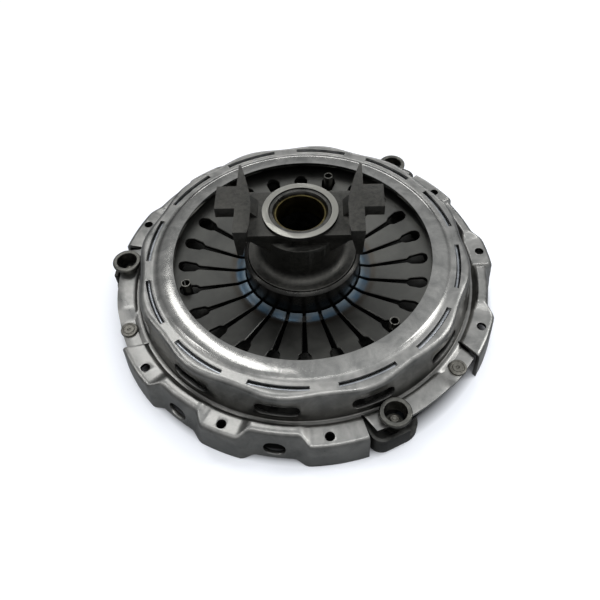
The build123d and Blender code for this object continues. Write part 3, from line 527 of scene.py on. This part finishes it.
def leaf(near, far, high, low):
    """Round-ended strip from the lug to the land: the height is a Bezier S between two flats, and the half
    width is that of the end circles."""
    run = np.array(far) - near
    length = np.linalg.norm(run)
    end = LEAF_W / 2
    t = np.linspace(0, 1, 33)
    bend = LEAF_FLAT * (1 - t) ** 3 + 3 * (1 - t) ** 2 * t * length / 2 + 3 * (1 - t) * t ** 2 * length / 2
    bend += (length - LEAF_FLAT) * t ** 3
    rise = low + (high - low) * (3 * (1 - t) * t ** 2 + t ** 3)
    caps = end * np.sin(np.linspace(-math.pi / 2, 0, 9))
    u = np.concatenate([caps, bend, length - caps[::-1]])
    z = np.concatenate([np.full(9, low), rise, np.full(9, high)])
    over = np.maximum(np.maximum(-u, u - length), 0)
    half = np.sqrt(np.clip(end ** 2 - over ** 2, 0.04, None))
    along = run / length
    side = np.array([-along[1], along[0]])
    across = np.linspace(-1, 1, 5)[None, :, None] * half[:, None, None]
    flat = np.array(near) + u[:, None, None] * along + across * side
    grids = [np.concatenate([flat, np.broadcast_to((z - d)[:, None, None], flat.shape[:2] + (1,))], -1)
             for d in (0.0, LEAF_T)]
    n, m = flat.shape[:2]
    i, j = np.meshgrid(np.arange(n - 1), np.arange(m - 1), indexing="ij")
    a = (i * m + j).ravel()
    size = n * m
    flats = np.concatenate([np.stack([a, a + 1, a + m + 1, a + m], -1),
                            np.stack([a + m, a + m + 1, a + 1, a], -1) + size])
    rim = np.concatenate([np.arange(n) * m, (n - 1) * m + np.arange(1, m), np.arange(n - 2, -1, -1) * m + m - 1,
                          np.arange(m - 2, 0, -1)])
    sides = np.stack([rim, np.roll(rim, -1), np.roll(rim, -1) + size, rim + size], -1)
    return np.concatenate([g.reshape(-1, 3) for g in grids]), np.concatenate([flats, sides]).tolist()


leaf_steel = finish("blued_strip_steel", "#34373b", "#4f5358", (0.22, 0.36), patch_mm=20.0, bump=0.05)
for zone, letter in enumerate("abc"):
    base = FIRST_WAIST + ZONE * zone
    near, far = polar(LUG_AT[0], base + LUG_AT[1])[:2], polar(LAND_AT[0], base + LAND_AT[1])[:2]
    leaves = [leaf(near, far, LEAF_TOP_Z - k * LEAF_PITCH, LUG_SEAT_Z + (LEAVES - k) * LEAF_PITCH)
              for k in range(LEAVES)]
    pack = add_mesh("leaf_pack_%s_fine" % letter, *merged(leaves), leaf_steel, 30)
    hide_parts("leaf_pack_" + letter)
    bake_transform(pack, "cover", "plate", start=(far[0] / 1000, far[1] / 1000, LEAF_MID_Z / 1000),
             end=(near[0] / 1000, near[1] / 1000, LEAF_MID_Z / 1000))

# Strap rivets: formed steel rivets. Those on the cover have a wide flat head with a pressed ring and a
# centre dimple; those on the lugs end in a rolled tubular mouth inside the access collar.
LEAF_STACK = LEAVES * LEAF_PITCH
SHANK_R, HEAD_R, HEAD_TOP, HEAD_SEAT = 4.98, 10.0, 1.2, -1.8
GROOVE_R, MOUTH_R, ROLL_R = 6.6, 3.1, 0.9
SPACER_H = 7.0


def rounded(points, radii, steps=4):
    """Closed outline with an arc at each corner, kept to 0.45 of the shorter run beside it."""
    points = np.asarray(points, float)
    line = []
    for i, radius in enumerate(np.broadcast_to(radii, len(points))):
        a, b = points[i - 1] - points[i], points[(i + 1) % len(points)] - points[i]
        la, lb = np.linalg.norm(a), np.linalg.norm(b)
        half = math.acos(np.clip(a @ b / la / lb, -1, 1)) / 2
        if radius <= 0 or half > 1.55:
            line.append(points[i:i + 1])
            continue
        reach = min(radius / math.tan(half), 0.45 * min(la, lb))
        a, b = a / la, b / lb
        centre = points[i] + (a + b) / np.linalg.norm(a + b) * reach / math.cos(half)
        start, end = points[i] + a * reach - centre, points[i] + b * reach - centre
        t = np.linspace(0, 1, steps + 1)[:, None]
        sweep = math.pi - 2 * half
        line.append(centre + (start * np.sin((1 - t) * sweep) + end * np.sin(t * sweep)) / math.sin(sweep))
    return np.concatenate(line)


def spun(outline, steps=48):
    """Outline from the axis at its low end to the axis at its top, turned about Z, with a point at each pole."""
    ring, poles = np.asarray(outline[1:-1], float), (outline[0], outline[-1])
    turn = np.linspace(0, 2 * math.pi, steps, endpoint=False)[:, None]
    verts = np.stack([np.cos(turn) * ring[:, 0], np.sin(turn) * ring[:, 0], np.ones_like(turn) * ring[:, 1]], -1)
    n = len(ring)
    i, j = np.meshgrid(np.arange(steps), np.arange(n - 1), indexing="ij")
    nxt = (i + 1) % steps
    faces = np.stack([i * n + j, nxt * n + j, nxt * n + j + 1, i * n + j + 1], -1).reshape(-1, 4).tolist()
    base = steps * n
    for k in range(steps):
        after = (k + 1) % steps
        faces += [(after * n, k * n, base), (k * n + n - 1, after * n + n - 1, base + 1)]
    return np.concatenate([verts.reshape(-1, 3), [(0, 0, p[1]) for p in poles]]), faces


def at_zones(group, radius, angle):
    """The group at a radius and angle from each of the three first waists, turned to face outwards."""
    verts, faces = group
    copies = []
    for zone in range(3):
        a = math.radians(FIRST_WAIST + ZONE * zone + angle)
        turn = np.array([[math.cos(a), -math.sin(a), 0], [math.sin(a), math.cos(a), 0], [0, 0, 1]])
        copies.append((np.asarray(verts) @ turn.T + polar(radius, math.degrees(a)), faces))
    return merged(copies)


rivet_steel = finish("formed_rivet_steel", "#55534e", "#75736d", (0.28, 0.46), patch_mm=6.0)
half_turn = np.linspace(0, math.pi, 9)
low = LAND_Z - SUNK_DEPTH - SHEET - LEAF_STACK - 0.02
ring_groove = [(GROOVE_R + ROLL_R * math.cos(t), HEAD_TOP - ROLL_R * math.sin(t)) for t in half_turn]
cover_rivet = [(0, low - 3.5), (6.9, low - 3.5), (7.5, low - 2.9), (7.5, low), (SHANK_R, low), (SHANK_R, HEAD_SEAT),
               (HEAD_R, HEAD_SEAT), (HEAD_R, HEAD_TOP - 0.7), (HEAD_R - 0.2, HEAD_TOP - 0.2),
               (HEAD_R - 0.7, HEAD_TOP), *ring_groove, (2.1, HEAD_TOP), (1.5, HEAD_TOP - 0.9), (0, HEAD_TOP - 1.4)]
rivets = add_mesh("strap_cover_rivets_fine", *at_zones(spun(cover_rivet), *LAND_AT), rivet_steel, 50)
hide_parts("strap_cover_rivets")
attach(rivets, "cover")
roll = LUG_SEAT_Z + LEAF_STACK + 0.04 + SPACER_H
mouth = [(MOUTH_R + ROLL_R * math.cos(t), -ROLL_R * math.sin(t)) for t in half_turn]
lug_rivet = [(0, -29), (SHANK_R, -29), (SHANK_R, roll), (6.6, roll), (7, roll + 0.4), (7, roll + 2.1),
             (6.6, roll + 2.5), (SHANK_R, roll + 2.5), (SHANK_R, -0.5), (4.5, 0), *mouth, (1.6, 0), (0, 0)]
lug_rivets = add_mesh("strap_lug_rivets_fine", *at_zones(spun(lug_rivet), *LUG_AT), rivet_steel, 50)
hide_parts("strap_lug_rivets")
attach(lug_rivets, "plate")

# Access collars: turned and phosphated steel bushes with a wide rim, pressed through the cover over the lug
# rivets. The rim's top edge is worn bright; the hole goes right through.
collar_steel = finish("phosphated_turned_steel", "#4a4a47", "#686762", (0.25, 0.42), patch_mm=10.0)
collar_outline = rounded([(12.2, -4.0), (13.6, -4.0), (13.6, 6.7), (17.0, 10.7), (17.8, 11.5), (17.8, 14.0),
                          (16.6, 15.2), (12.8, 15.2), (12.2, 14.4)], [0, 0, 2.0, 1.0, 0.8, 0.8, 0.8, 0.4, 0.4])
collars = add_mesh("access_collars_fine", *at_zones(turned(collar_outline, 72), *LUG_AT), collar_steel, 40)
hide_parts("access_collars")
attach(collars, "cover")

# Keyhole tubes: three rolled steel sleeves that stand on the plate, reach up through every eighth keyhole and
# are slit at the top.
TUBE_CIRCLE_R, TUBE_ANGLE = 143.5, FIRST_SLOT + 60
tube_outline = rounded([(4.25, -3.0), (6.0, -3.0), (6.0, 37.0), (4.25, 37.0)], [0, 0, 0.5, 0.5])
tubes = add_mesh("keyhole_tubes_fine", *at_zones(turned(tube_outline, 48), TUBE_CIRCLE_R, TUBE_ANGLE - FIRST_WAIST),
                 collar_steel, 40)
slit = [(-0.6, 0), (0.6, 0), (0.6, 11), (-0.6, 11)]
slits = []
for k in range(3):
    start = np.array(polar(TUBE_CIRCLE_R, TUBE_ANGLE + ZONE * k, 27)) + np.array(polar(2, ZONE * k))
    slits.append(bar(slit, start, polar(1, ZONE * k + 90), (0, 0, 1), 8))
cut(tubes, slits)
shade(tubes, 40)
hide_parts("keyhole_tubes")
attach(tubes, "plate")

# Pressure plate: grey iron casting with a ground friction face, a turned fulcrum ridge and three strap lugs.
# Its cast edges are rounded; it is left bare, so it is dark and dull where it isn't machined.
def softened(node, name, width, material, sharp=35.0, above=25.0, segments=3):
    """The CAD node's solid with its flat faces joined again and its edges rounded by a width in millimetres."""
    made = bpy.data.objects.new(name, frame["nodes"][node].data.copy())
    bpy.context.scene.collection.objects.link(made)
    made.data.materials.clear()
    made.data.materials.append(material)
    for attribute in [a for a in made.data.attributes if a.name == "custom_normal"]:
        made.data.attributes.remove(attribute)
    bm = bmesh.new()
    bm.from_mesh(made.data)
    bmesh.ops.remove_doubles(bm, verts=bm.verts, dist=2e-6)
    bmesh.ops.dissolve_limit(bm, angle_limit=math.radians(1.0), verts=bm.verts, edges=bm.edges)
    bm.to_mesh(made.data)
    bm.free()
    broken_edges(made, width, segments, sharp, above)
    return made


plate_iron = finish("grey_cast_iron", "#2b2b2a", "#474745", (0.38, 0.58), patch_mm=12.0, bump=0.3)
plate = softened("pressure_plate", "pressure_plate_fine", 1.0, plate_iron)
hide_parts("pressure_plate")
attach(plate, "plate")

# Release housing: grey iron casting, sand-rough and oiled, with rounded edges. Only the ring round the bore is
# faced on a lathe, which leaves it brighter.
FACED_RING, FACED_ABOVE = (36.0, 43.0), 113.5


def faced_ring(tree, place, colour, roughness):
    """Bright and a little smoother on the ring's top face, between its two radii and above its height."""
    mask = ring_mask(tree, place, *FACED_RING, 0.3)
    height = add_node(tree, "SeparateXYZ", {0: place}).outputs[2]
    above = add_node(tree, "Math", {0: height, 1: FACED_ABOVE / 1000}, operation="GREATER_THAN").outputs[0]
    both = add_node(tree, "Math", {0: mask, 1: above}, operation="MULTIPLY").outputs[0]
    colour = add_node(tree, "Mix", {0: both, 6: colour, 7: srgb("#8a8983")}, data_type="RGBA").outputs[2]
    roughness = add_node(tree, "Mix", {0: both, 2: roughness, 3: 0.30}, data_type="FLOAT").outputs[0]
    return colour, roughness


housing_iron = finish("oiled_cast_iron", "#353533", "#454441", (0.36, 0.52), patch_mm=5.0, grain_mm=1.2, bump=0.5,
                      zones=faced_ring)
housing = softened("release_housing", "release_housing_fine", 1.6, housing_iron, above=30.0)
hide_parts("release_housing")
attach(housing, "housing")

# Guide sleeve and bushes: a turned steel sleeve pressed into the housing, with a chamfered mouth, and two thin
# bronze bushes in its bore, of which a fine yellow edge shows.
sleeve_steel = finish("turned_sleeve_steel", "#3b3b39", "#5a5956", (0.24, 0.40), patch_mm=15.0)
sleeve_outline = rounded([(29.3, 8.0), (35.38, 8.0), (35.38, 112.0), (34.7, 112.9), (31.5, 112.9), (29.3, 108.9)],
                         [0, 0.5, 0.5, 0.4, 0.8, 0])
sleeve = add_mesh("guide_sleeve_fine", *turned(sleeve_outline, 128), sleeve_steel, 40)
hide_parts("guide_sleeve")
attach(sleeve, "housing")
# The bushes' bronze is painted dark brown: partly its own colour, partly painted shade for the shade deep in the
# bore.
bronze = finish("bushing_bronze_painted_bore_shade", "#3c3420", "#575033", (0.30, 0.45), patch_mm=12.0)
bushes = [rounded([(27.3, z), (29.28, z), (29.28, z + 26), (27.3, z + 26)], 0.35) for z in (82.9, 10.0)]
bush = add_mesh("bronze_bushes_fine", *merged([turned(outline, 128) for outline in bushes]), bronze, 40)
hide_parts("bronze_bushes")
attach(bush, "housing")

# Bearing collar: turned steel shell, blackened and oiled, with rounded corners that catch the light. It holds
# the ball bearing's outer ring and passes down through the fingertips.
blackened = finish("blackened_turned_steel", "#262625", "#383735", (0.22, 0.38), patch_mm=18.0, bump=0.05)
shell_outline = rounded([(68.7, 0.0), (69.7, 1.0), (69.7, 44.4), (65.2, 48.7), (65.2, 42.2), (59.0, 42.2),
                         (59.0, 38.02), (64.0, 38.02), (64.0, 18.0), (62.5, 16.5), (62.5, 0.0)],
                        [0.3, 0.3, 1.0, 0.6, 0.3, 0.3, 0, 0, 0, 0, 0.3])
shell = add_mesh("bearing_collar_fine", *turned(shell_outline, 192), blackened, 40)
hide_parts("bearing_collar")
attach(shell, "collar")

# Parts deep in the stack keep their exact solids and get the finish of their metal: ground bearing rings and
# balls, a pressed cage, a rubber-faced shield, spring rings, the loading ring and the rivet spacers.
finishes = {
    "pressed_steel": cover_steel,
    "bright_wire": wire_steel,
    "spring_steel": spring_steel,
    "leaf_steel": leaf_steel,
    "rivet_steel": rivet_steel,
    "collar_steel": collar_steel,
    "plate_iron": plate_iron,
    "housing_iron": housing_iron,
    "sleeve_steel": sleeve_steel,
    "bronze": bronze,
    "blackened_steel": blackened,
    "bearing_steel": finish("ground_bearing_steel", "#9a9c9e", "#c0c2c4", (0.1, 0.2), patch_mm=20.0, bump=0.02),
    "cage_steel": finish("pressed_cage_steel", "#7d7d7c", "#9a9a99", (0.25, 0.4), patch_mm=20.0),
    "seal_rubber": finish("moulded_seal_rubber", "#161616", "#202020", (0.5, 0.7), metallic=0.0),
}
slots = {part["node"]: part["material_slot"] for part in frame["record"]["subparts"]}
for name, node in frame["nodes"].items():
    node.data.materials.clear()
    node.data.materials.append(finishes[slots[name]])

# Floor: white card just under the lowest point of the skirt, painted dark under the object and grey for glossy
# rays. For the camera it goes over into the white sweep a little way out, so the ring before the sweep is a painted
# soft shadow round the object. Its radii are in metres.
CARD_HALF, CARD_GAP = 6000.0, 0.3
SHADE_RADII, SHADOW_TO_SWEEP_RADII, SWEEP_SHARE = (0.222, 0.242), (0.235, 0.36), 0.75
card_z = packed_low.z * 1000 - CARD_GAP
corners = [(x * CARD_HALF, y * CARD_HALF, card_z) for x, y in ((-1, -1), (1, -1), (1, 1), (-1, 1))]
card = bpy.data.materials.new("white_card")
card.use_nodes = True
tree = card.node_tree
tree.nodes.clear()
path = add_node(tree, "LightPath")
tone = add_node(tree, "Mix", {0: path.outputs["Is Glossy Ray"], 6: srgb("#f8faff"), 7: srgb("#8e9092")},
                data_type="RGBA").outputs[2]
flat = add_node(tree, "VectorMath", {0: add_node(tree, "TexCoord").outputs["Object"]}, operation="LENGTH")
beyond = add_node(tree, "MapRange", {"Value": flat.outputs["Value"], "From Min": SHADE_RADII[0],
                                     "From Max": SHADE_RADII[1]}).outputs[0]
tone = add_node(tree, "Mix", {0: beyond, 6: srgb("#1a1a1a"), 7: tone}, data_type="RGBA").outputs[2]
lit = add_node(tree, "BsdfDiffuse", {"Color": tone}).outputs[0]
blown = add_node(tree, "Emission", {"Color": srgb("#ffffff"), "Strength": 1.0}).outputs[0]
# Painted shadow: the camera sees less of the white sweep near the object, which leaves a soft dark ring round it.
past_painted_shadow = add_node(tree, "MapRange", {"Value": flat.outputs["Value"], "From Min": SHADOW_TO_SWEEP_RADII[0],
                                   "From Max": SHADOW_TO_SWEEP_RADII[1], "To Min": 0.0, "To Max": SWEEP_SHARE},
                interpolation_type="SMOOTHSTEP").outputs[0]
share = add_node(tree, "Math", {0: path.outputs["Is Camera Ray"], 1: past_painted_shadow}, operation="MULTIPLY").outputs[0]
shown = add_node(tree, "MixShader", {0: share, 1: lit, 2: blown}).outputs[0]
add_node(tree, "OutputMaterial", {"Surface": shown})
floor = add_mesh("floor", corners, [(0, 1, 2, 3)], card)
floor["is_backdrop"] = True

# Studio: a white sweep that the camera sees, and a soft sky for the metal, bright overhead and to the right
# and dim towards the horizon. Long panels draw the bright lines along the folds of the sheet.
SKY_LOW, SKY_TOP, SKY_LEFT, SKY_RIGHT = 0.10, 1.25, 0.74, 1.34
world = bpy.data.worlds.new("studio")
bpy.context.scene.world = world
world.use_nodes = True
tree = world.node_tree
tree.nodes.clear()
path = add_node(tree, "LightPath")
heading = add_node(tree, "SeparateXYZ", {0: add_node(tree, "TexCoord").outputs["Generated"]}).outputs
above = add_node(tree, "MapRange", {"Value": heading[2], "From Min": 0.0, "From Max": 1.0,
                                    "To Min": SKY_LOW, "To Max": SKY_TOP}).outputs[0]
across = add_node(tree, "MapRange", {"Value": heading[0], "From Min": -0.6, "From Max": 0.6,
                                     "To Min": SKY_LEFT, "To Max": SKY_RIGHT}).outputs[0]
power = add_node(tree, "Math", {0: above, 1: across}, operation="MULTIPLY").outputs[0]
sky = add_node(tree, "Background", {"Color": srgb("#f4f6f8"), "Strength": power}).outputs[0]
white = add_node(tree, "Background", {"Color": (1, 1, 1, 1), "Strength": 1.0}).outputs[0]
seen = add_node(tree, "MixShader", {0: path.outputs["Is Camera Ray"], 1: sky, 2: white}).outputs[0]
add_node(tree, "OutputWorld", {"Surface": seen})


def panel(name, heading, distance, size, glow):
    """Soft light panel at a distance in metres along a heading from the object, facing it. Its power is its
    glow times pi times its area."""
    lamp = bpy.data.lights.new(name, "AREA")
    lamp.shape = "RECTANGLE"
    lamp.size, lamp.size_y = size
    lamp.energy = glow * math.pi * size[0] * size[1]
    made = bpy.data.objects.new(name, lamp)
    bpy.context.scene.collection.objects.link(made)
    made.location = Vector(heading).normalized() * distance
    made.rotation_euler = (-made.location).to_track_quat("-Z", "Y").to_euler()
    return made


panel("overhead_left", (-0.23, 0.39, 0.89), 2.0, (0.28, 0.86), 7.0)
panel("left_strip", (-1.0, 0.0, 0.75), 2.0, (0.12, 1.4), 9.0)
panel("right_strip", (1.0, 0.1, 0.75), 2.0, (0.30, 1.4), 9.0)
panel("front_strip", (0.0, -0.6, 1.0), 2.2, (1.6, 0.12), 14.0)
panel("back_strip", (0.1, 1.0, 0.32), 2.4, (2.6, 0.3), 5.5)

# Camera: above the front of the object, with a slight roll. Its place is in metres from the middle of the slot
# plane, along its own axes before the roll. The tilt and the roll are in radians.
TILT, ROLL, FOCAL_PX, PICTURE_PX = 0.9256384, -0.0583592, 654.35, 600
AWAY, LEFT, DOWN = 0.7902678, 0.0059868, 0.0568880
back_dir = np.array([0, -math.cos(TILT), math.sin(TILT)])
up_dir = np.array([0, math.sin(TILT), math.cos(TILT)])
side_dir = np.array([1.0, 0, 0])
spot = back_dir * AWAY - side_dir * LEFT - up_dir * DOWN + np.array([0, 0, SLOT_PLANE_Z / 1000])
right_dir = side_dir * math.cos(ROLL) + up_dir * math.sin(ROLL)
top_dir = -side_dir * math.sin(ROLL) + up_dir * math.cos(ROLL)
view = bpy.data.cameras.new("camera")
view.sensor_width = 36.0
view.lens = FOCAL_PX / PICTURE_PX * 36.0
camera = bpy.data.objects.new("camera", view)
bpy.context.scene.collection.objects.link(camera)
camera.matrix_world = Matrix([[right_dir[i], top_dir[i], back_dir[i], spot[i]] for i in range(3)] + [[0, 0, 0, 1]])
bpy.context.scene.camera = camera
bpy.context.scene.view_settings.view_transform = "Standard"

low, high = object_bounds()
